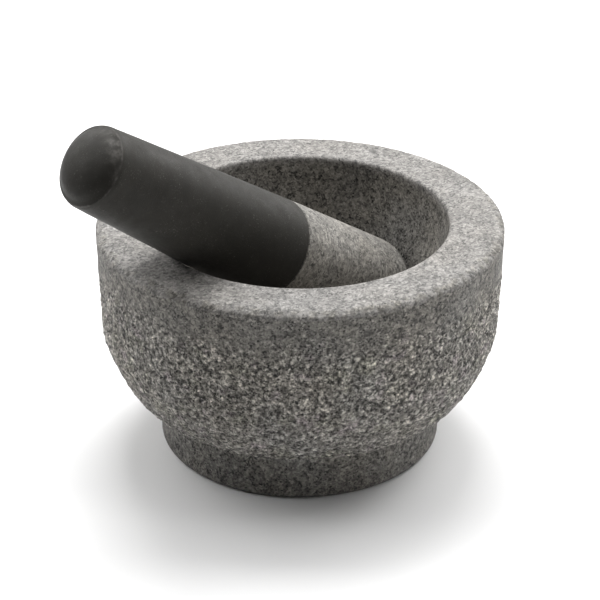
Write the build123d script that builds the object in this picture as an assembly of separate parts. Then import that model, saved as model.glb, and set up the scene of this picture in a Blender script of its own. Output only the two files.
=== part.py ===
from build123d import *

import os
from math import acos, atan2, cos, degrees, radians, sin, tan

# A granite molcajete: a turned stone mortar with an integral foot, and a stone pestle
# whose handle wears a silicone sleeve. Millimetres, +Z up. The origin is the centre of
# the foot's underside. The pestle leans in the XZ plane: its sleeve rests on the -X side
# of the rim and its head rests against the bowl's +X wall.

# Mortar, outside
RIM_RADIUS = 100.0
HEIGHT = 118.0
RIM_EDGE_RADIUS = 4.5
WALL_DRAFT = 1.7              # degrees the wall leans in, going down
SHOULDER_HEIGHT = 64.0        # where the wall starts to turn in
SHOULDER_RADIUS = 12.0
SHOULDER_TURN = 12.0          # degrees
BELLY_RADIUS = 78.0
BELLY_TURN = 25.0             # degrees
BELLY_EDGE_RADIUS = 2.5       # rounded lower edge of the belly, over the foot
UNDERSIDE_SLOPE = 12.0        # degrees below level, going in towards the foot
FOOT_RADIUS = 70.5
FOOT_COVE_RADIUS = 4.0        # hollow corner between underside and foot
FOOT_EDGE_RADIUS = 3.0

# Mortar, inside
MOUTH_RADIUS = 73.0
LIP_RADIUS = 2.0
BOWL_DEPTH = 90.0
BOWL_FLOOR_RADIUS = 66.0

# Pestle, along its own axis from the tip of the head
PESTLE_LENGTH = 223.5
HEAD_RADIUS = 28.4
HEAD_CROWN_RADIUS = 40.0      # the blunt grinding end
HEAD_EDGE_RADIUS = 10.0
SLEEVE_START = 90.0           # the shoulder that the sleeve's lip stands on
SLEEVE_LIP_RADIUS = 25.6
SLEEVE_END_RADIUS = 19.8
SLEEVE_CROWN_RADIUS = 32.0
SLEEVE_EDGE_RADIUS = 5.8
SLEEVE_LIP_ROUND = 1.5
SLEEVE_WALL = 3.0
SLEEVE_CAP = 4.5              # sleeve thickness over the end of the stone
SHOULDER_ROUND = 0.8
SPIGOT_END_ROUND = 5.0

# Rest pose
LEAN = 35.75                  # degrees of the pestle's axis above level
CLEARANCE = 0.3               # gap where the pestle rests on the mortar


def crown_turn(radius, edge_radius, crown_radius):
    """Degrees that a crown arc turns before it meets its edge arc."""
    half = (radius - edge_radius) / (crown_radius - edge_radius)
    return 90.0 - degrees(acos(half))


def crown_height(radius, edge_radius, crown_radius):
    """Axial length of a crowned end, from its apex to where its edge arc meets the side."""
    turn = radians(crown_turn(radius, edge_radius, crown_radius))
    return crown_radius - (crown_radius - edge_radius) * cos(turn)


def bowl_wall_radius():
    """Radius of the wall arc: upright at the lip and tangent to the bowl's floor arc."""
    rise = HEIGHT - LIP_RADIUS - (HEIGHT - BOWL_DEPTH + BOWL_FLOOR_RADIUS)
    spare = MOUTH_RADIUS - BOWL_FLOOR_RADIUS
    return (MOUTH_RADIUS**2 + rise**2 - BOWL_FLOOR_RADIUS**2) / (2 * spare)


def grip_taper():
    """Angle in radians between the sleeve's side and its axis."""
    crown = crown_height(SLEEVE_END_RADIUS, SLEEVE_EDGE_RADIUS, SLEEVE_CROWN_RADIUS)
    run = PESTLE_LENGTH - crown - SLEEVE_START
    return atan2(SLEEVE_LIP_RADIUS - SLEEVE_END_RADIUS, run)


def corner_at(outline, radius, height):
    """The outline's corner at a radius and a height, in the sketch's own plane."""
    return outline.vertices().sort_by_distance((radius, height))[0]


def mortar():
    """The bowl, its wall and its foot: one stone, revolved about Z."""
    wall_radius = bowl_wall_radius()
    floor_centre = HEIGHT - BOWL_DEPTH + BOWL_FLOOR_RADIUS
    wall_turn = degrees(atan2(HEIGHT - LIP_RADIUS - floor_centre, wall_radius - MOUTH_RADIUS))
    belly_end = WALL_DRAFT + SHOULDER_TURN + BELLY_TURN
    edge_turn = 90.0 - UNDERSIDE_SLOPE - belly_end
    cove_turn = 90.0 - UNDERSIDE_SLOPE
    with BuildPart() as stone:
        with BuildSketch(Plane.XZ):
            with BuildLine():
                rim_start = (RIM_RADIUS - RIM_EDGE_RADIUS, HEIGHT)
                rim = JernArc(rim_start, (1, 0), RIM_EDGE_RADIUS, -90 - WALL_DRAFT)
                wall_drop = (rim @ 1).Y - SHOULDER_HEIGHT
                wall_run = Vector(-wall_drop * tan(radians(WALL_DRAFT)), -wall_drop)
                wall = Line(rim @ 1, rim @ 1 + wall_run)
                shoulder = JernArc(wall @ 1, wall % 1, SHOULDER_RADIUS, -SHOULDER_TURN)
                belly = JernArc(shoulder @ 1, shoulder % 1, BELLY_RADIUS, -BELLY_TURN)
                edge = JernArc(belly @ 1, belly % 1, BELLY_EDGE_RADIUS, -edge_turn)
                cove_reach = FOOT_COVE_RADIUS * (1 - sin(radians(UNDERSIDE_SLOPE)))
                reach = (edge @ 1).X - FOOT_RADIUS - cove_reach
                slope_run = Vector(-reach, -reach * tan(radians(UNDERSIDE_SLOPE)))
                underside = Line(edge @ 1, edge @ 1 + slope_run)
                cove = JernArc(underside @ 1, underside % 1, FOOT_COVE_RADIUS, cove_turn)
                foot = Line(cove @ 1, (FOOT_RADIUS, FOOT_EDGE_RADIUS))
                JernArc(foot @ 1, (0, -1), FOOT_EDGE_RADIUS, -90)
                Line((FOOT_RADIUS - FOOT_EDGE_RADIUS, 0), (0, 0))
                Line((0, 0), (0, HEIGHT - BOWL_DEPTH))
                bowl_side = JernArc(
                    (MOUTH_RADIUS, HEIGHT - LIP_RADIUS), (0, -1), wall_radius, -wall_turn
                )
                JernArc(bowl_side @ 1, bowl_side % 1, BOWL_FLOOR_RADIUS, wall_turn - 90)
                lip_start = (MOUTH_RADIUS + LIP_RADIUS, HEIGHT)
                JernArc(lip_start, (-1, 0), LIP_RADIUS, 90)
                Line(lip_start, rim_start)
            make_face()
        revolve(axis=Axis.Z)
    return stone.part


def rest_tip():
    """Tip of the pestle at rest, as (x, z): the sleeve on the lip and the head on the wall."""
    lean = radians(LEAN)
    taper = grip_taper()
    # Unit normal of the sleeve's lower side, pointing up from the lip to the axis
    side = Vector(sin(lean + taper), cos(lean + taper))
    lip = Vector(-MOUTH_RADIUS - LIP_RADIUS, HEIGHT - LIP_RADIUS)
    wall_radius = bowl_wall_radius()
    wall_centre = Vector(MOUTH_RADIUS - wall_radius, HEIGHT - LIP_RADIUS)
    # The sleeve's cone, carried on down the axis to the centre of the head's crown
    cone_radius = SLEEVE_LIP_RADIUS + (SLEEVE_START - HEAD_CROWN_RADIUS) * tan(taper)
    offset = side.dot(lip) + cone_radius * cos(taper) + LIP_RADIUS + CLEARANCE
    reach = wall_radius - HEAD_CROWN_RADIUS - CLEARANCE
    swing = acos((offset - side.dot(wall_centre)) / reach) - atan2(side.Y, side.X)
    crown_centre = wall_centre + Vector(cos(swing), -sin(swing)) * reach
    return crown_centre + Vector(cos(lean), -sin(lean)) * HEAD_CROWN_RADIUS


def rest_place():
    """Where the pestle lies: its own +Z runs from the head's tip up along the handle."""
    tip = rest_tip()
    return Location((tip.X, 0, tip.Y)) * Rotation(0, LEAN - 90, 0)


def pestle_stone():
    """The granite pestle: a blunt head, a shoulder, and a spigot inside the sleeve."""
    crown = crown_turn(HEAD_RADIUS, HEAD_EDGE_RADIUS, HEAD_CROWN_RADIUS)
    taper = grip_taper()
    spigot_end = PESTLE_LENGTH - SLEEVE_CAP
    spigot_run = spigot_end - SLEEVE_START
    spigot_base = SLEEVE_LIP_RADIUS - SLEEVE_WALL
    spigot_tip = spigot_base - spigot_run * tan(taper)
    with BuildPart() as stone:
        with BuildSketch(Plane.XZ) as outline:
            with BuildLine():
                end = JernArc((0, 0), (1, 0), HEAD_CROWN_RADIUS, crown)
                edge = JernArc(end @ 1, end % 1, HEAD_EDGE_RADIUS, 90 - crown)
                Polyline(
                    edge @ 1,
                    (SLEEVE_LIP_RADIUS, SLEEVE_START),
                    (spigot_base, SLEEVE_START),
                    (spigot_tip, spigot_end),
                    (0, spigot_end),
                    (0, 0),
                )
            make_face()
            fillet(corner_at(outline, SLEEVE_LIP_RADIUS, SLEEVE_START), SHOULDER_ROUND)
            fillet(corner_at(outline, spigot_tip, spigot_end), SPIGOT_END_ROUND)
        revolve(axis=Axis.Z)
    return stone.part


def pestle_grip(stone):
    """The silicone sleeve: closed at its crowned end, and as thick as the spigot leaves."""
    crown = crown_turn(SLEEVE_END_RADIUS, SLEEVE_EDGE_RADIUS, SLEEVE_CROWN_RADIUS)
    side_top = PESTLE_LENGTH - crown_height(
        SLEEVE_END_RADIUS, SLEEVE_EDGE_RADIUS, SLEEVE_CROWN_RADIUS
    )
    with BuildPart() as sleeve:
        with BuildSketch(Plane.XZ) as outline:
            with BuildLine():
                Polyline(
                    (0, PESTLE_LENGTH),
                    (0, SLEEVE_START),
                    (SLEEVE_LIP_RADIUS, SLEEVE_START),
                    (SLEEVE_END_RADIUS, side_top),
                )
                end = JernArc((0, PESTLE_LENGTH), (1, 0), SLEEVE_CROWN_RADIUS, -crown)
                JernArc(end @ 1, end % 1, SLEEVE_EDGE_RADIUS, crown - 90)
            make_face()
            fillet(corner_at(outline, SLEEVE_LIP_RADIUS, SLEEVE_START), SLEEVE_LIP_ROUND)
        revolve(axis=Axis.Z)
    return sleeve.part - stone


def main():
    os.makedirs("parts", exist_ok=True)
    stone = pestle_stone()
    place = rest_place()
    nodes = {
        "mortar": mortar(),
        "pestle_stone": place * stone,
        "pestle_grip": place * pestle_grip(stone),
    }
    for name, solid in nodes.items():
        export_step(solid, f"parts/{name}.step")


main()
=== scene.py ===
from math import (
    asin, atan, atan2, ceil, cos, degrees, exp, hypot, pi, radians, sin, tan, tau
)

import bpy
from mathutils import Matrix, Vector, noise


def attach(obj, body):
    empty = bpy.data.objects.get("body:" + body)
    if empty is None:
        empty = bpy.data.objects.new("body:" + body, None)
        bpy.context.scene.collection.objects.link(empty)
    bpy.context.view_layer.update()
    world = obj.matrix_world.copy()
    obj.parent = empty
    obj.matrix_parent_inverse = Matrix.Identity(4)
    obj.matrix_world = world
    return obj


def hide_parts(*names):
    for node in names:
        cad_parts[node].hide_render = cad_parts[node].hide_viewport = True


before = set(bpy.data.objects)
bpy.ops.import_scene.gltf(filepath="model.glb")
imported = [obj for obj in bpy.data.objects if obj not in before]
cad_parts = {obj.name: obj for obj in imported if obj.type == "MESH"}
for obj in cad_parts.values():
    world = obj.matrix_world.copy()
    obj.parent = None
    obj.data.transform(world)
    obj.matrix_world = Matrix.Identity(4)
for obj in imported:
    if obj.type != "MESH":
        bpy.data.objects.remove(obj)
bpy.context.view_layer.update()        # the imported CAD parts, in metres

# The looks of a granite molcajete: a mortar with a honed rim, bowl and foot and a pecked
# belly, and a ground stone pestle in a silicone grip sleeve. Metres, +Z up, in the CAD frame.
MM = 0.001

# Mortar, outside
RIM_RADIUS = 100 * MM
HEIGHT = 118 * MM
RIM_CROWN = 8 * MM            # the rim's outer part eases over, and then turns a tighter edge
RIM_CROWN_TURN = 38.0
RIM_EDGE = 2 * MM
WALL_DRAFT = 1.7              # degrees, as are the other turns and slopes
SHOULDER_HEIGHT = 64 * MM
SHOULDER_RADIUS = 12 * MM
SHOULDER_TURN = 12.0
BELLY_RADIUS = 78 * MM
BELLY_TURN = 25.0
BELLY_EDGE = 2.5 * MM
UNDERSIDE_SLOPE = 12.0
FOOT_RADIUS = 70.5 * MM
FOOT_COVE = 4 * MM
FOOT_EDGE = 3 * MM

# Mortar, inside
MOUTH_RADIUS = 73 * MM
LIP = 2 * MM
BOWL_DEPTH = 90 * MM
BOWL_FLOOR_RADIUS = 66 * MM

# Pestle, along its own axis from the tip of the head
PESTLE_LENGTH = 223.5 * MM
HEAD_RADIUS = 28.4 * MM
HEAD_CROWN = 40 * MM
HEAD_EDGE = 10 * MM
GRIP_START = 90 * MM
GRIP_LIP_RADIUS = 25.6 * MM
GRIP_END_RADIUS = 19.8 * MM
GRIP_CROWN = 32 * MM
GRIP_EDGE = 5.8 * MM
GRIP_LIP_ROUND = 1.5 * MM
GRIP_WALL = 3 * MM
GRIP_CAP = 4.5 * MM
SHOULDER_ROUND = 0.8 * MM
SPIGOT_ROUND = 5 * MM
SPIGOT_GAP = 0.05 * MM        # keeps the two hidden faces inside the sleeve apart
LEAN = 35.75                  # degrees of the axis above level, at rest

# How finely the stone is cut
MORTAR_COLUMNS = 544
PESTLE_COLUMNS = 256
FINE_STEP = 0.95 * MM         # along the pecked belly
SMALLEST_EDGE = 0.45 * MM     # rings near the axis drop columns to keep this

# How rough the stone is
PECK_TOP = 105 * MM           # above this height the wall is honed
PECK_FULL = 90 * MM           # below this height it is fully pecked
PECK_DEPTH = 0.9 * MM
PECK_SPACING = 2.9 * MM
PECK_MEAN = 0.35              # lifts the pecked surface back to the outline, on average
CRUMB_SIZE = 2.1 * MM
MORTAR_WAVE = 0.35 * MM
MORTAR_WAVE_SIZE = 30 * MM
CHIP_SPACING = 3.2 * MM
CHIP_DEPTH = 0.85 * MM
CHIP_REACH = 6 * MM           # how far from a corner the chips go
CHIP_CORE = 2.5 * MM          # how far from it they are at their deepest
RIM_CORNER = (RIM_RADIUS, HEIGHT)
BELLY_CORNER = (83 * MM, 31 * MM)
PIT_DEPTH = 0.25 * MM         # the pestle's pits
PIT_SPACING = 3.3 * MM
PESTLE_WAVE = 0.05 * MM
PESTLE_WAVE_SIZE = 14 * MM

# How much darker the honed stone is made, from 0 to 1. On the wall below the rim this is painted
# shade.
BOWL_DARKENED = 0.38
FOOT_DARKENED = 0.95
WALL_SHADE_FROM = 3 * MM     # below the rim's top, to where the wall's painted shade is full
WALL_SHADE_TO = 5 * MM
WALL_SHADE_DRIFT = 0.7 * MM

# The sleeve. The mould's parting line runs round the rounded edge of its end.
PARTING_TURN = 62.0           # degrees from the axis to the line, round the edge arc
PARTING_HEIGHT = 0.2 * MM
PARTING_WIDTH = 0.45 * MM
HOLLOW_DEPTH = 0.8 * MM      # the slight hollow inside the line
HOLLOW_WIDTH = 2.3 * MM
SCUFF_TURN = radians(-40)     # round the axis, from straight up, to the middle of the scuffs
SCUFF_SPREAD = radians(38)
BEARING_AT = 139 * MM         # where the sleeve bears on the rim, along the pestle's axis
BEARING_SPREAD = 14 * MM
BEARING_SWELL = 0.22 * MM
SLEEVE_WAVE = 0.06 * MM
SLEEVE_WAVE_SIZE = 16 * MM


def smooth(value, start, end):
    """0 before start, 1 after end, and an S between. start may be the larger."""
    share = min(max((value - start) / (end - start), 0.0), 1.0)
    return share * share * (3 - 2 * share)


# Outlines ---------------------------------------------------------------------------


class Pen:
    """Draws an outline in the (radius, height) plane, with the solid on its right."""

    def __init__(self, radius, height, heading):
        self.place = Vector((radius, height))
        self.heading = radians(heading)
        self.points = []
        self.part = ""
        self.drop()

    def drop(self):
        way = Vector((cos(self.heading), sin(self.heading)))
        out = Vector((-way.y, way.x))
        self.points.append((self.place.copy(), out, self.part))

    def line(self, length, step, part):
        self.part = part
        count = max(1, ceil(length / step - 0.01))
        way = Vector((cos(self.heading), sin(self.heading)))
        start = self.place.copy()
        for i in range(count):
            self.place = start + way * (length * (i + 1) / count)
            self.drop()

    def arc(self, radius, turn, step, part):
        """Turns left by a positive number of degrees, and right by a negative one."""
        self.part = part
        turn = radians(turn)
        count = max(2, ceil(abs(turn) * radius / step - 0.01))
        side = 1 if turn > 0 else -1
        centre = self.place + Vector((-sin(self.heading), cos(self.heading))) * radius * side
        start = self.heading
        for i in range(count):
            self.heading = start + turn * (i + 1) / count
            out = Vector((sin(self.heading), -cos(self.heading)))
            self.place = centre + out * radius * side
            self.drop()

    def end_on_axis(self):
        """Puts the last point exactly on the axis."""
        place, out, part = self.points[-1]
        self.points[-1] = (Vector((0, place.y)), out, part)
        return self.points


def mortar_outline():
    """From the bowl's lowest point, over the rim and down the outside, to under the foot."""
    floor_centre = HEIGHT - BOWL_DEPTH + BOWL_FLOOR_RADIUS
    rise = HEIGHT - LIP - floor_centre
    spare = MOUTH_RADIUS - BOWL_FLOOR_RADIUS
    wall_radius = (MOUTH_RADIUS**2 + rise**2 - BOWL_FLOOR_RADIUS**2) / (2 * spare)
    wall_turn = degrees(asin(rise / (wall_radius - BOWL_FLOOR_RADIUS)))
    pen = Pen(0, HEIGHT - BOWL_DEPTH, 0)
    pen.part = "bowl"
    pen.arc(BOWL_FLOOR_RADIUS, 90 - wall_turn, 3.4 * MM, "bowl")
    pen.arc(wall_radius, wall_turn, 3.4 * MM, "bowl")
    pen.arc(LIP, -90, 0.8 * MM, "lip")
    ease = sin(radians(RIM_CROWN_TURN))
    edge_run = RIM_CROWN * ease + RIM_EDGE * (1 - ease)
    pen.line(RIM_RADIUS - edge_run - MOUTH_RADIUS - LIP, 2.5 * MM, "rim")
    pen.arc(RIM_CROWN, -RIM_CROWN_TURN, 0.8 * MM, "rim")
    pen.arc(RIM_EDGE, RIM_CROWN_TURN - 90 - WALL_DRAFT, 0.7 * MM, "rim")
    pen.line((pen.place.y - SHOULDER_HEIGHT) / cos(radians(WALL_DRAFT)), FINE_STEP, "wall")
    pen.arc(SHOULDER_RADIUS, -SHOULDER_TURN, FINE_STEP, "belly")
    pen.arc(BELLY_RADIUS, -BELLY_TURN, FINE_STEP, "belly")
    edge_turn = 90 - UNDERSIDE_SLOPE - WALL_DRAFT - SHOULDER_TURN - BELLY_TURN
    pen.arc(BELLY_EDGE, -edge_turn, FINE_STEP, "belly")
    slope = radians(UNDERSIDE_SLOPE)
    reach = pen.place.x - FOOT_RADIUS - FOOT_COVE * (1 - sin(slope))
    pen.line(reach / cos(slope), 1.2 * MM, "underside")
    pen.arc(FOOT_COVE, 90 - UNDERSIDE_SLOPE, 1.2 * MM, "underside")
    pen.line(pen.place.y - FOOT_EDGE, 2 * MM, "foot")
    pen.arc(FOOT_EDGE, -90, 1.2 * MM, "foot")
    pen.line(pen.place.x, 8 * MM, "base")
    return pen.end_on_axis()


def crown_turn(radius, edge, crown):
    """Degrees that a crowned end's flat arc turns before its edge arc."""
    return degrees(asin((radius - edge) / (crown - edge)))


def grip_taper():
    """Degrees between the sleeve's side and its axis."""
    crown = radians(crown_turn(GRIP_END_RADIUS, GRIP_EDGE, GRIP_CROWN))
    top = PESTLE_LENGTH - GRIP_CROWN + (GRIP_CROWN - GRIP_EDGE) * cos(crown)
    return degrees(atan((GRIP_LIP_RADIUS - GRIP_END_RADIUS) / (top - GRIP_START)))


def pestle_outline():
    """From the spigot's end inside the sleeve, over the shoulder, to the head's tip."""
    taper = radians(grip_taper())
    spigot_end = PESTLE_LENGTH - GRIP_CAP
    spigot_base = GRIP_LIP_RADIUS - GRIP_WALL - SPIGOT_GAP
    spigot_tip = spigot_base - (spigot_end - GRIP_START) * tan(taper)
    head_turn = crown_turn(HEAD_RADIUS, HEAD_EDGE, HEAD_CROWN)
    head_side = HEAD_CROWN - (HEAD_CROWN - HEAD_EDGE) * cos(radians(head_turn))
    flare = atan((HEAD_RADIUS - GRIP_LIP_RADIUS) / (GRIP_START - head_side))
    pen = Pen(0, spigot_end - SPIGOT_GAP, 0)
    end_turn = 90 - degrees(taper)
    end_cut = SPIGOT_ROUND * tan(radians(end_turn) / 2)
    pen.line(spigot_tip - end_cut, 4 * MM, "spigot")
    pen.arc(SPIGOT_ROUND, -end_turn, 2 * MM, "spigot")
    pen.line((pen.place.y - GRIP_START) / cos(taper), 12 * MM, "spigot")
    pen.heading = 0
    pen.drop()
    pen.line(GRIP_LIP_RADIUS - SHOULDER_ROUND - pen.place.x, 1 * MM, "shoulder")
    pen.arc(SHOULDER_ROUND, degrees(flare) - 90, 0.3 * MM, "shoulder")
    flank = pen.place.y - head_side - HEAD_EDGE * sin(flare)
    pen.line(flank / cos(flare), 1.6 * MM, "head")
    pen.arc(HEAD_EDGE, head_turn - 90 - degrees(flare), 1.4 * MM, "head")
    pen.arc(HEAD_CROWN, -head_turn, 1.4 * MM, "head")
    return pen.end_on_axis()


def grip_outline():
    """From the crowned end, down the outside, round the lip and up inside to the end."""
    taper = grip_taper()
    crown = crown_turn(GRIP_END_RADIUS, GRIP_EDGE, GRIP_CROWN)
    pen = Pen(0, PESTLE_LENGTH, 0)
    pen.part = "end"
    pen.arc(GRIP_CROWN, -crown, 1.5 * MM, "end")
    pen.arc(GRIP_EDGE, crown - 90 + taper, 0.25 * MM, "end")
    lip_cut = GRIP_LIP_ROUND * tan(radians(90 + taper) / 2)
    side = (pen.place.y - GRIP_START) / cos(radians(taper)) - lip_cut
    pen.line(side, 2.2 * MM, "side")
    pen.arc(GRIP_LIP_ROUND, -90 - taper, 0.3 * MM, "lip")
    inside = GRIP_LIP_RADIUS - GRIP_WALL
    pen.line(pen.place.x - inside, 1 * MM, "lip")
    pen.heading = radians(90 + taper)
    pen.drop()
    length = PESTLE_LENGTH - GRIP_CAP - GRIP_START
    end_turn = 90 - taper
    end_cut = SPIGOT_ROUND * tan(radians(end_turn) / 2)
    pen.line(length / cos(radians(taper)) - end_cut, 12 * MM, "inside")
    pen.arc(SPIGOT_ROUND, end_turn, 2 * MM, "inside")
    pen.line(pen.place.x, 4 * MM, "inside")
    return pen.end_on_axis()


# Relief -----------------------------------------------------------------------------


def peck_marks(place, spacing):
    """Round-bottomed marks of the pecking hammer, of uneven depth: 0 between, down to -1."""
    distances, centres = noise.voronoi(place / spacing)
    depth = 0.6 + 0.4 * noise.cell(centres[0] * 9.1)
    return -depth * max(0.0, 1.0 - (distances[0] / 0.62) ** 2)


def crumbs(place, size):
    """Uneven broken grain between the marks, from about -1 to 1."""
    coarse = noise.noise(place / size)
    fine = noise.noise(place / size * 2.1 + Vector((4, 7, 1)))
    return 1.1 * coarse + 0.45 * fine


def chips(place, reach):
    """Small flakes off a corner: 0, or down to -1."""
    distances, centres = noise.voronoi(place / CHIP_SPACING)
    size = noise.cell(centres[0] * 5.3)
    depth = max(0.0, 0.3 + 0.7 * size)
    return -depth * max(0.0, 1.0 - (distances[0] / 0.65) ** 2) * reach


def peck_share(place, part):
    """How much of the full pecking a place on the mortar has, from 0 to 1."""
    if part in ("bowl", "lip", "rim", "base"):
        return 0.0
    if part == "underside":
        return 0.75
    drift = 7 * MM * noise.noise(place / (22 * MM))
    if part == "foot":
        share = 0.12 + 0.45 * smooth(place.z + drift / 2, 18 * MM, 28 * MM)
        return share * smooth(place.z, 0.0, FOOT_EDGE)
    return 0.2 + 0.8 * smooth(place.z + drift, PECK_TOP, PECK_FULL)


def darkened_share(place, part):
    """How much darker the honed stone is made: a little in the bowl, fully on the foot, and on the
    wall below the rim, where it is painted shade.
    """
    if part == "bowl":
        return BOWL_DARKENED * smooth(HEIGHT - place.z, 1 * MM, 7 * MM)
    # The wall below the rim is darkened as painted shade.
    if part == "wall":
        drift = WALL_SHADE_DRIFT * noise.noise(place / (3 * MM))
        return smooth(HEIGHT - place.z + drift, WALL_SHADE_FROM, WALL_SHADE_TO)
    return FOOT_DARKENED if part in ("foot", "underside", "base") else 0.0


def mortar_relief(place, part):
    """(outward offset, relief from -1 to 1, pecked share, darkened share) at a place. Low relief
    is painted as shade.
    """
    share = peck_share(place, part)
    relief = 0.0
    if share > 0:
        relief = PECK_MEAN + peck_marks(place, PECK_SPACING) + 0.6 * crumbs(place, CRUMB_SIZE)
    offset = share * PECK_DEPTH * (relief - PECK_MEAN)
    if part in ("wall", "belly", "foot"):
        offset += share * MORTAR_WAVE * noise.noise(place / MORTAR_WAVE_SIZE)
    corner = RIM_CORNER if part in ("rim", "wall") else BELLY_CORNER
    away = hypot(hypot(place.x, place.y) - corner[0], place.z - corner[1])
    if away < CHIP_REACH and part in ("rim", "wall", "belly", "underside"):
        chip = chips(place, smooth(away, CHIP_REACH, CHIP_CORE))
        offset += CHIP_DEPTH * chip
        # Chips darken the colour too, through relief and the pecked share: painted shade.
        relief += chip
        share = max(share, -chip)
    return offset, relief, share, darkened_share(place, part)


def pestle_relief(place, part):
    """The same four values for the pestle's ground stone, which has a few shallow pits."""
    if part in ("spigot", "shoulder"):
        return 0.0, 0.0, 0.0, 0.0
    pit = min(0.0, 0.45 + peck_marks(place + Vector((3, 1, 2)), PIT_SPACING))
    wave = noise.noise(place / PESTLE_WAVE_SIZE)
    return PESTLE_WAVE * wave + PIT_DEPTH * pit, pit, 0.0, 0.0


def past_parting(place):
    """How far a place on the sleeve's end is outside the parting line, along the surface."""
    turn = radians(crown_turn(GRIP_END_RADIUS, GRIP_EDGE, GRIP_CROWN))
    spread = GRIP_CROWN - GRIP_EDGE
    centre = Vector((spread * sin(turn), PESTLE_LENGTH - GRIP_CROWN + spread * cos(turn)))
    reach = Vector((hypot(place.x, place.y), place.z)) - centre
    past = GRIP_EDGE * (max(atan2(reach.x, reach.y), turn) - radians(PARTING_TURN))
    return past - max(0.0, centre.x + GRIP_EDGE * sin(turn) - hypot(place.x, place.y))


def grip_relief(place, part):
    """(outward offset, share of pale wear and painted highlight) at a place on the moulded sleeve.
    """
    if part in ("inside", "lip"):
        return 0.0, 0.0
    offset = SLEEVE_WAVE * noise.noise(place / SLEEVE_WAVE_SIZE)
    if part != "end":
        off_centre = hypot(place.y, place.z - BEARING_AT) / BEARING_SPREAD
        swell = BEARING_SWELL * exp(-(off_centre**2)) if place.x < 0 else 0.0
        return offset + swell, 0.0
    past = past_parting(place)
    line = exp(-((past / PARTING_WIDTH) ** 2))
    hollow = exp(-(((past + HOLLOW_WIDTH) / HOLLOW_WIDTH) ** 2))
    offset += PARTING_HEIGHT * line - HOLLOW_DEPTH * hollow
    turn = atan2(place.y, place.x) - SCUFF_TURN
    patch = exp(-((turn / SCUFF_SPREAD) ** 2)) * smooth(past, -9 * MM, -2 * MM)
    patch *= smooth(past, 0.5 * MM, -0.5 * MM) * smooth(noise.noise(place / (3 * MM)), -0.25, 0.45)
    # The parting line is paled in places: wear on its ridge, and a painted highlight along it.
    return offset, max(0.9 * line * smooth(noise.noise(place / (4 * MM)), -0.5, 0.3), patch)


# Turned pieces ----------------------------------------------------------------------


def columns_at(radius, most):
    """How many columns a ring has: halved towards the axis, so that no edge gets tiny."""
    columns = most
    while columns > 20 and tau * radius / columns < SMALLEST_EDGE:
        columns //= 2
    return columns


def bridge(lower, upper):
    """Faces between two rings, of which one may have fewer vertices, by a whole ratio."""
    faces = []
    if len(lower) == 1 or len(upper) == 1:
        ring = upper if len(lower) == 1 else lower
        for i in range(len(ring)):
            after = ring[(i + 1) % len(ring)]
            if len(lower) == 1:
                faces.append((lower[0], ring[i], after))
            else:
                faces.append((ring[i], upper[0], after))
        return faces
    few = min(len(lower), len(upper))
    for i in range(few):
        below, above = span(lower, i, few), span(upper, i, few)
        faces.append((*reversed(below), *above))
    return faces


def span(ring, i, parts):
    """The i-th of equal stretches of a ring, with both of its end vertices."""
    size = len(ring) // parts
    return [ring[(i * size + k) % len(ring)] for k in range(size + 1)]


def turned(name, outline, columns, relief, marks):
    """A mesh turned about Z from an outline, with its relief as geometry and as attributes."""
    places, rings = [], []
    values = {mark: [] for mark in marks}
    for place_on_outline, out, part in outline:
        radius, height = place_on_outline
        count = columns_at(radius, columns) if radius > 0 else 1
        rings.append(range(len(places), len(places) + count))
        for i in range(count):
            turn = tau * i / count
            around = Vector((cos(turn), sin(turn), 0))
            place = around * radius + Vector((0, 0, height))
            offset, *found = relief(place, part)
            places.append(place + (around * out.x + Vector((0, 0, out.y))) * offset)
            for mark, value in zip(marks, found):
                values[mark].append(value)
    faces = []
    for lower, upper in zip(rings, rings[1:]):
        faces += bridge(lower, upper)
    mesh = bpy.data.meshes.new(name)
    mesh.from_pydata(places, [], faces)
    for mark, column in values.items():
        mesh.attributes.new(mark, "FLOAT", "POINT").data.foreach_set("value", column)
    mesh.shade_smooth()
    piece = bpy.data.objects.new(name, mesh)
    bpy.context.scene.collection.objects.link(piece)
    return piece


# Materials --------------------------------------------------------------------------


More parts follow.
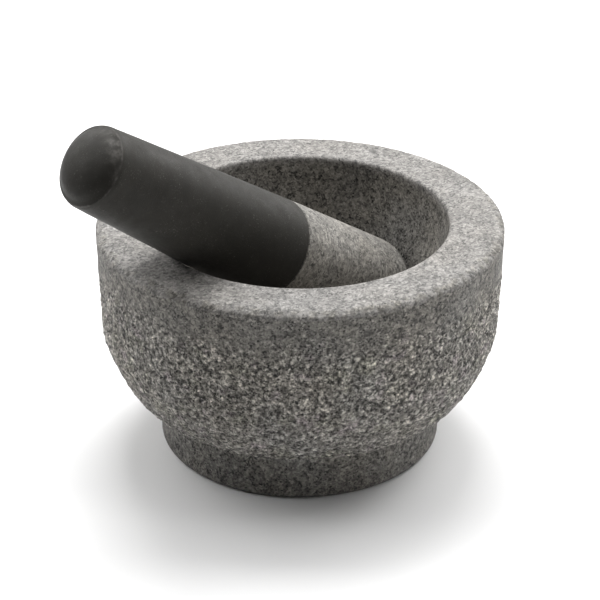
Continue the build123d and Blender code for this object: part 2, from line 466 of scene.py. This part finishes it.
class Nodes:
    """A material's nodes. Each call adds one node and gives back its output."""

    def __init__(self, name):
        self.material = bpy.data.materials.new(name)
        self.material.use_nodes = True
        self.tree = self.material.node_tree
        self.shader = self.tree.nodes["Principled BSDF"]

    def add(self, kind, inputs, **settings):
        node = self.tree.nodes.new(kind)
        for name, value in settings.items():
            setattr(node, name, value)
        for key, value in inputs.items():
            self.feed(node.inputs[key], value)
        return node

    def feed(self, socket, value):
        if isinstance(value, bpy.types.NodeSocket):
            self.tree.links.new(value, socket)
        else:
            socket.default_value = value

    def own_place(self):
        return self.add("ShaderNodeTexCoord", {}).outputs["Object"]

    def attribute(self, name):
        return self.add("ShaderNodeAttribute", {}, attribute_name=name).outputs["Fac"]

    def noise(self, vector, scale, detail=2.0, roughness=0.5):
        inputs = {"Vector": vector, "Scale": scale, "Detail": detail, "Roughness": roughness}
        return self.add("ShaderNodeTexNoise", inputs).outputs["Fac"]

    def cells(self, vector, scale):
        """A random number from 0 to 1 for each grain."""
        node = self.add("ShaderNodeTexVoronoi", {"Vector": vector, "Scale": scale})
        return self.add("ShaderNodeSeparateColor", {"Color": node.outputs["Color"]}).outputs[0]

    def math(self, operation, a, b=0.0, clamp=False):
        node = self.add("ShaderNodeMath", {0: a, 1: b}, operation=operation, use_clamp=clamp)
        return node.outputs[0]

    def spread(self, value, low, high, to_low, to_high):
        inputs = {
            "Value": value, "From Min": low, "From Max": high,
            "To Min": to_low, "To Max": to_high,
        }
        return self.add("ShaderNodeMapRange", inputs).outputs["Result"]

    def blend(self, share, a, b):
        """Plain numbers, mixed. A share over 1 goes on past b."""
        node = self.add(
            "ShaderNodeMix", {"Factor": share, 2: a, 3: b}, data_type="FLOAT", clamp_factor=False
        )
        return node.outputs[0]

    def tint(self, share, a, b, kind="MIX"):
        """Colours, mixed."""
        node = self.add(
            "ShaderNodeMix", {"Factor": share, 6: a, 7: b}, data_type="RGBA", blend_type=kind
        )
        return node.outputs[2]

    def ramp(self, value, stops):
        """Greys along a ramp, as (place, grey) pairs."""
        node = self.add("ShaderNodeValToRGB", {"Fac": value})
        elements = node.color_ramp.elements
        while len(elements) < len(stops):
            elements.new(0.5)
        for element, (place, grey) in zip(elements, stops):
            element.position = place
            element.color = (grey, grey, grey, 1)
        return node.outputs["Color"]

    def shifted(self, vector, size, scale):
        """A vector pushed about by noise, so that grains aren't straight-sided."""
        node = self.add("ShaderNodeTexNoise", {"Vector": vector, "Scale": scale, "Detail": 2.0})
        centred = self.add(
            "ShaderNodeVectorMath", {0: node.outputs["Color"], 1: (0.5, 0.5, 0.5)},
            operation="SUBTRACT",
        )
        push = self.add(
            "ShaderNodeVectorMath", {0: centred.outputs[0], "Scale": size}, operation="SCALE"
        )
        total = self.add("ShaderNodeVectorMath", {0: vector, 1: push.outputs[0]}, operation="ADD")
        return total.outputs[0]

    def bump(self, height, distance, strength=1.0):
        inputs = {"Height": height, "Distance": distance, "Strength": strength}
        return self.add("ShaderNodeBump", inputs).outputs["Normal"]

    def finish(self, colour, roughness, normal, **plain):
        self.feed(self.shader.inputs["Base Color"], colour)
        self.feed(self.shader.inputs["Roughness"], roughness)
        self.feed(self.shader.inputs["Normal"], normal)
        for key, value in plain.items():
            self.shader.inputs[key.replace("_", " ")].default_value = value
        return self.material


GRAIN_TONES = [(0.0, 0.04), (0.16, 0.12), (0.34, 0.30), (0.62, 0.46), (0.84, 0.64), (1.0, 0.82)]
GRAIN_MEAN = 0.40
WARM = (1.10, 1.0, 0.84, 1)
COOL = (1.01, 1.0, 0.97, 1)
CLEAN = (1.03, 1.0, 0.98, 1)  # honed and unused, on the rim
OLIVE = (1.04, 1.0, 0.85, 1)
PINK = (1.09, 0.97, 0.95, 1)
MORTAR_TONE = 0.44
PESTLE_TONE = 0.41
STONE_MARKS = ("relief", "pecked", "darkened")


def granite(name, tone, streaks):
    """Grey granite: crystals of two sizes, patches of tint, broken grain where pecked, and painted
    shade in the pits and chips and on the wall below the rim.

    Streaks are the fine grinding lines round the pestle.
    """
    n = Nodes(name)
    place = n.own_place()
    bent = n.shifted(place, 0.9 * MM, 900)
    relief, pecked, darkened = [n.attribute(mark) for mark in STONE_MARKS]
    fine = n.ramp(n.cells(bent, 1150), GRAIN_TONES)
    coarse = n.ramp(n.cells(bent, 460), GRAIN_TONES)
    dust = n.spread(n.noise(place, 2600, 3), 0.3, 0.7, 0.8, 1.2)
    grain = n.blend(0.38, n.math("MULTIPLY", fine, dust), coarse)
    grain = n.blend(n.spread(darkened, 0.0, 0.35, 0.82, 1.12), GRAIN_MEAN, grain)
    patches = n.spread(n.noise(place, 42, 4, 0.6), 0.3, 0.7, 0.88, 1.12)
    # Broken grain where pecked: pale bruised peaks, and dark lows under the bump, which are
    # painted shade.
    rubble = n.noise(bent, 540, 4, 0.66)
    broken = n.spread(rubble, 0.37, 0.63, 0.16, 2.05)
    blotches = n.spread(n.noise(bent, 260, 3, 0.6), 0.36, 0.64, 0.76, 1.2)
    # Pecked stone is darkened in its peck marks and chips, as painted shade with some dirt, and
    # paled on its peaks.
    shade = n.math("MULTIPLY", n.spread(relief, -0.8, 0.9, 0.4, 1.6), broken)
    shade = n.math("MULTIPLY", shade, blotches)
    # Unpecked stone is darkened here: painted shade on the wall below the rim, and a darker bowl
    # and foot.
    worked_and_shaded = n.blend(pecked, n.spread(darkened, 0.0, 1.0, 1.05, 0.66), shade)
    grey = n.math("MULTIPLY", n.math("MULTIPLY", grain, patches), n.math("MULTIPLY", worked_and_shaded, tone))
    colour = n.tint(n.noise(place, 30, 2), WARM, COOL)
    if streaks:
        along = n.add("ShaderNodeMapping", {"Vector": place, "Scale": (70, 70, 2100)})
        lines = n.noise(along.outputs[0], 1.0, 2)
        grey = n.math("MULTIPLY", grey, n.spread(lines, 0.3, 0.7, 0.8, 1.22))
    else:
        pecked_and_darkened = n.math("ADD", pecked, darkened)
        colour = n.tint(n.spread(pecked_and_darkened, 0.0, 0.3, 0.5, 0.0), colour, CLEAN)
    stain = n.math("MULTIPLY", n.spread(n.noise(place, 75, 3), 0.54, 0.68, 0.0, 1.0), pecked)
    colour = n.tint(stain, colour, OLIVE)
    blush = n.math("MULTIPLY", n.spread(n.noise(bent, 120, 3), 0.58, 0.7, 0.0, 1.0), pecked)
    colour = n.tint(blush, colour, PINK)
    colour = n.tint(1.0, colour, grey, "MULTIPLY")
    grit = n.math("ADD", n.noise(place, 1500, 3, 0.6), n.math("MULTIPLY", fine, 0.5))
    rough_height = n.math("ADD", n.math("MULTIPLY", rubble, 1.5), n.math("MULTIPLY", grit, 0.28))
    height = n.blend(pecked, n.math("MULTIPLY", grit, 0.05), rough_height)
    rough = n.spread(grain, 0.0, 1.0, 0.62, 0.86)
    return n.finish(colour, rough, n.bump(height, 1 * MM), Specular_IOR_Level=0.35)


GRIP_MARKS = ("wear_and_highlight",)
SLEEVE_GREY = 0.0105
SLEEVE_BROWN = (1.2, 1.0, 0.8, 1)
SLEEVE_OLIVE = (1.06, 1.0, 0.78, 1)
DUST = (1.06, 1.0, 0.95, 1)


def silicone(name):
    """Matte charcoal silicone with stone dust, dull patches, pale scuffs, and a pale parting line
    that is partly painted highlight.
    """
    n = Nodes(name)
    place = n.own_place()
    patches = n.spread(n.noise(place, 60, 4, 0.6), 0.3, 0.7, 0.8, 1.25)
    specks = n.spread(n.noise(place, 1300, 3, 0.7), 0.6, 0.75, 0.0, 0.1)
    dusty = n.spread(n.noise(place, 120, 3), 0.38, 0.65, 0.1, 1.0)
    scratched = n.spread(n.noise(place, 800, 4, 0.7), 0.35, 0.65, 0.02, 0.075)
    colour = n.tint(n.noise(place, 45, 2), SLEEVE_BROWN, SLEEVE_OLIVE)
    colour = n.tint(1.0, colour, n.math("MULTIPLY", patches, SLEEVE_GREY), "MULTIPLY")
    # Pale scuffs, and the pale parting line, which is partly painted highlight.
    dust = n.math("MULTIPLY", scratched, n.attribute("wear_and_highlight"))
    dust = n.math("ADD", dust, n.math("MULTIPLY", specks, dusty))
    colour = n.tint(1.0, colour, n.tint(1.0, DUST, dust, "MULTIPLY"), "ADD")
    rough = n.spread(n.noise(place, 150, 4, 0.6), 0.3, 0.7, 0.55, 0.7)
    normal = n.bump(n.noise(place, 2200, 3, 0.6), 0.08 * MM)
    return n.finish(
        colour, rough, normal, Specular_IOR_Level=0.34, Specular_Tint=(1.0, 0.99, 0.94, 1),
        Sheen_Weight=0.1, Sheen_Roughness=0.3,
    )


def paper(name):
    """The floor: seamless white paper, fading out with distance."""
    n = Nodes(name)
    place = n.own_place()
    grey = n.spread(n.noise(place, 6, 3), 0.3, 0.7, 0.835, 0.845)
    colour = n.tint(1.0, (1.0, 1.0, 1.0, 1), grey, "MULTIPLY")
    fibre = n.noise(place, 900, 2)
    away = n.add("ShaderNodeVectorMath", {0: place}, operation="LENGTH").outputs["Value"]
    n.feed(n.shader.inputs["Alpha"], n.spread(away, FADE_START, FADE_END, 1.0, 0.0))
    return n.finish(colour, 0.9, n.bump(fibre, 0.02 * MM), Specular_IOR_Level=0.1)


# The pieces -------------------------------------------------------------------------


def pestle_place():
    """The pestle's place at rest, read off the CAD stone. Its own +Z runs up its axis."""
    lean = radians(LEAN)
    axis = Vector((-cos(lean), 0, sin(lean)))
    across = Vector((sin(lean), 0, cos(lean)))
    corners = [v.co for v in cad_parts["pestle_stone"].data.vertices]
    sides = [c.dot(across) for c in corners]
    tip = axis * min(c.dot(axis) for c in corners) + across * (min(sides) + max(sides)) / 2
    return Matrix.Translation(tip) @ Matrix.Rotation(lean - pi / 2, 4, "Y")


def put(piece, node, body, material, place=None):
    """Gives a piece its material and place, puts it on its body, and hides the CAD node that it
    stands in for.
    """
    piece.data.materials.append(material)
    if place is not None:
        piece.matrix_world = place
    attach(piece, body)
    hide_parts(node)


def make_mortar():
    piece = turned(
        "mortar_body", mortar_outline(), MORTAR_COLUMNS, mortar_relief, STONE_MARKS
    )
    put(piece, "mortar", "mortar", granite("mortar_granite", MORTAR_TONE, False))


def make_pestle():
    place = pestle_place()
    stone = turned("pestle_body", pestle_outline(), PESTLE_COLUMNS, pestle_relief, STONE_MARKS)
    finish = granite("pestle_granite", PESTLE_TONE, True)
    put(stone, "pestle_stone", "pestle", finish, place)
    grip = turned("pestle_sleeve", grip_outline(), PESTLE_COLUMNS, grip_relief, GRIP_MARKS)
    put(grip, "pestle_grip", "pestle", silicone("grip_silicone"), place)


# The studio -------------------------------------------------------------------------

FLOOR_SIZE = 6.0
FADE_START = 0.5              # the floor fades into the pale background between these radii
FADE_END = 1.3
CAMERA_AZIMUTH = radians(229.6)
CAMERA_ELEVATION = radians(27.95)
CAMERA_DISTANCE = 1.1
CAMERA_TARGET = Vector((0, 0, 72.5 * MM))
CAMERA_ROLL = radians(0.145)
CAMERA_LENS = 132.25          # on a sensor 36 mm wide


def make_floor():
    mesh = bpy.data.meshes.new("floor")
    half = FLOOR_SIZE / 2
    corners = [(-half, -half, 0), (half, -half, 0), (half, half, 0), (-half, half, 0)]
    mesh.from_pydata(corners, [], [(0, 1, 2, 3)])
    floor = bpy.data.objects.new("floor", mesh)
    bpy.context.scene.collection.objects.link(floor)
    mesh.materials.append(paper("floor_paper"))


def aim(thing, place, target, roll=0.0):
    """Puts a camera or light at a place, looking at a target."""
    way = Vector(target) - Vector(place)
    turn = way.to_track_quat("-Z", "Y").to_matrix().to_4x4()
    thing.matrix_world = Matrix.Translation(place) @ turn @ Matrix.Rotation(roll, 4, "Z")


def seen_from(azimuth, elevation, distance):
    """A place round the target, at angles from the camera's own azimuth."""
    turn = CAMERA_AZIMUTH + radians(azimuth)
    rise = radians(elevation)
    way = Vector((cos(rise) * cos(turn), cos(rise) * sin(turn), sin(rise)))
    return CAMERA_TARGET + way * distance


def softbox(name, azimuth, elevation, distance, size, power):
    """A square area light, placed at angles from the camera's side."""
    light = bpy.data.lights.new(name, "AREA")
    light.size = size
    light.energy = power
    holder = bpy.data.objects.new(name, light)
    bpy.context.scene.collection.objects.link(holder)
    aim(holder, seen_from(azimuth, elevation, distance), CAMERA_TARGET)


# Name, azimuth, elevation, distance, size and power. Azimuth 180 is behind the object.
SOFTBOXES = [
    ("softbox_top", 180, 65, 1.8, 1.0, 38),
    ("softbox_top_right", 90, 60, 1.8, 1.0, 13),
    ("softbox_top_left", 270, 60, 1.8, 1.0, 5),
    ("softbox_back_left", 220, 30, 2.0, 1.2, 18),
    ("softbox_back_right", 140, 30, 2.0, 1.2, 27),
    ("softbox_left", 260, 35, 2.0, 1.2, 13.5),
    ("softbox_right", 70, 20, 2.0, 1.2, 8.5),
]

WORLD_LIGHT = 0.02


def make_lights():
    """The softboxes, and a world that is dim as light but pale to the camera."""
    for settings in SOFTBOXES:
        softbox(*settings)
    world = bpy.data.worlds.new("studio")
    world.use_nodes = True
    tree = world.node_tree
    tree.nodes["Background"].inputs["Color"].default_value = (1, 1, 1, 1)
    rays = tree.nodes.new("ShaderNodeLightPath")
    strength = tree.nodes.new("ShaderNodeMapRange")
    strength.inputs["To Min"].default_value = WORLD_LIGHT
    strength.inputs["To Max"].default_value = 1.0
    tree.links.new(rays.outputs["Is Camera Ray"], strength.inputs["Value"])
    tree.links.new(strength.outputs["Result"], tree.nodes["Background"].inputs["Strength"])
    bpy.context.scene.world = world


def make_camera():
    camera = bpy.data.cameras.new("camera")
    camera.lens = CAMERA_LENS
    camera.sensor_width = 36
    holder = bpy.data.objects.new("camera", camera)
    bpy.context.scene.collection.objects.link(holder)
    back = Vector((cos(CAMERA_AZIMUTH), sin(CAMERA_AZIMUTH), tan(CAMERA_ELEVATION))).normalized()
    aim(holder, CAMERA_TARGET + back * CAMERA_DISTANCE, CAMERA_TARGET, CAMERA_ROLL)
    bpy.context.scene.camera = holder


make_mortar()
make_pestle()
make_floor()
make_lights()
make_camera()
bpy.context.scene.view_settings.view_transform = "Standard"
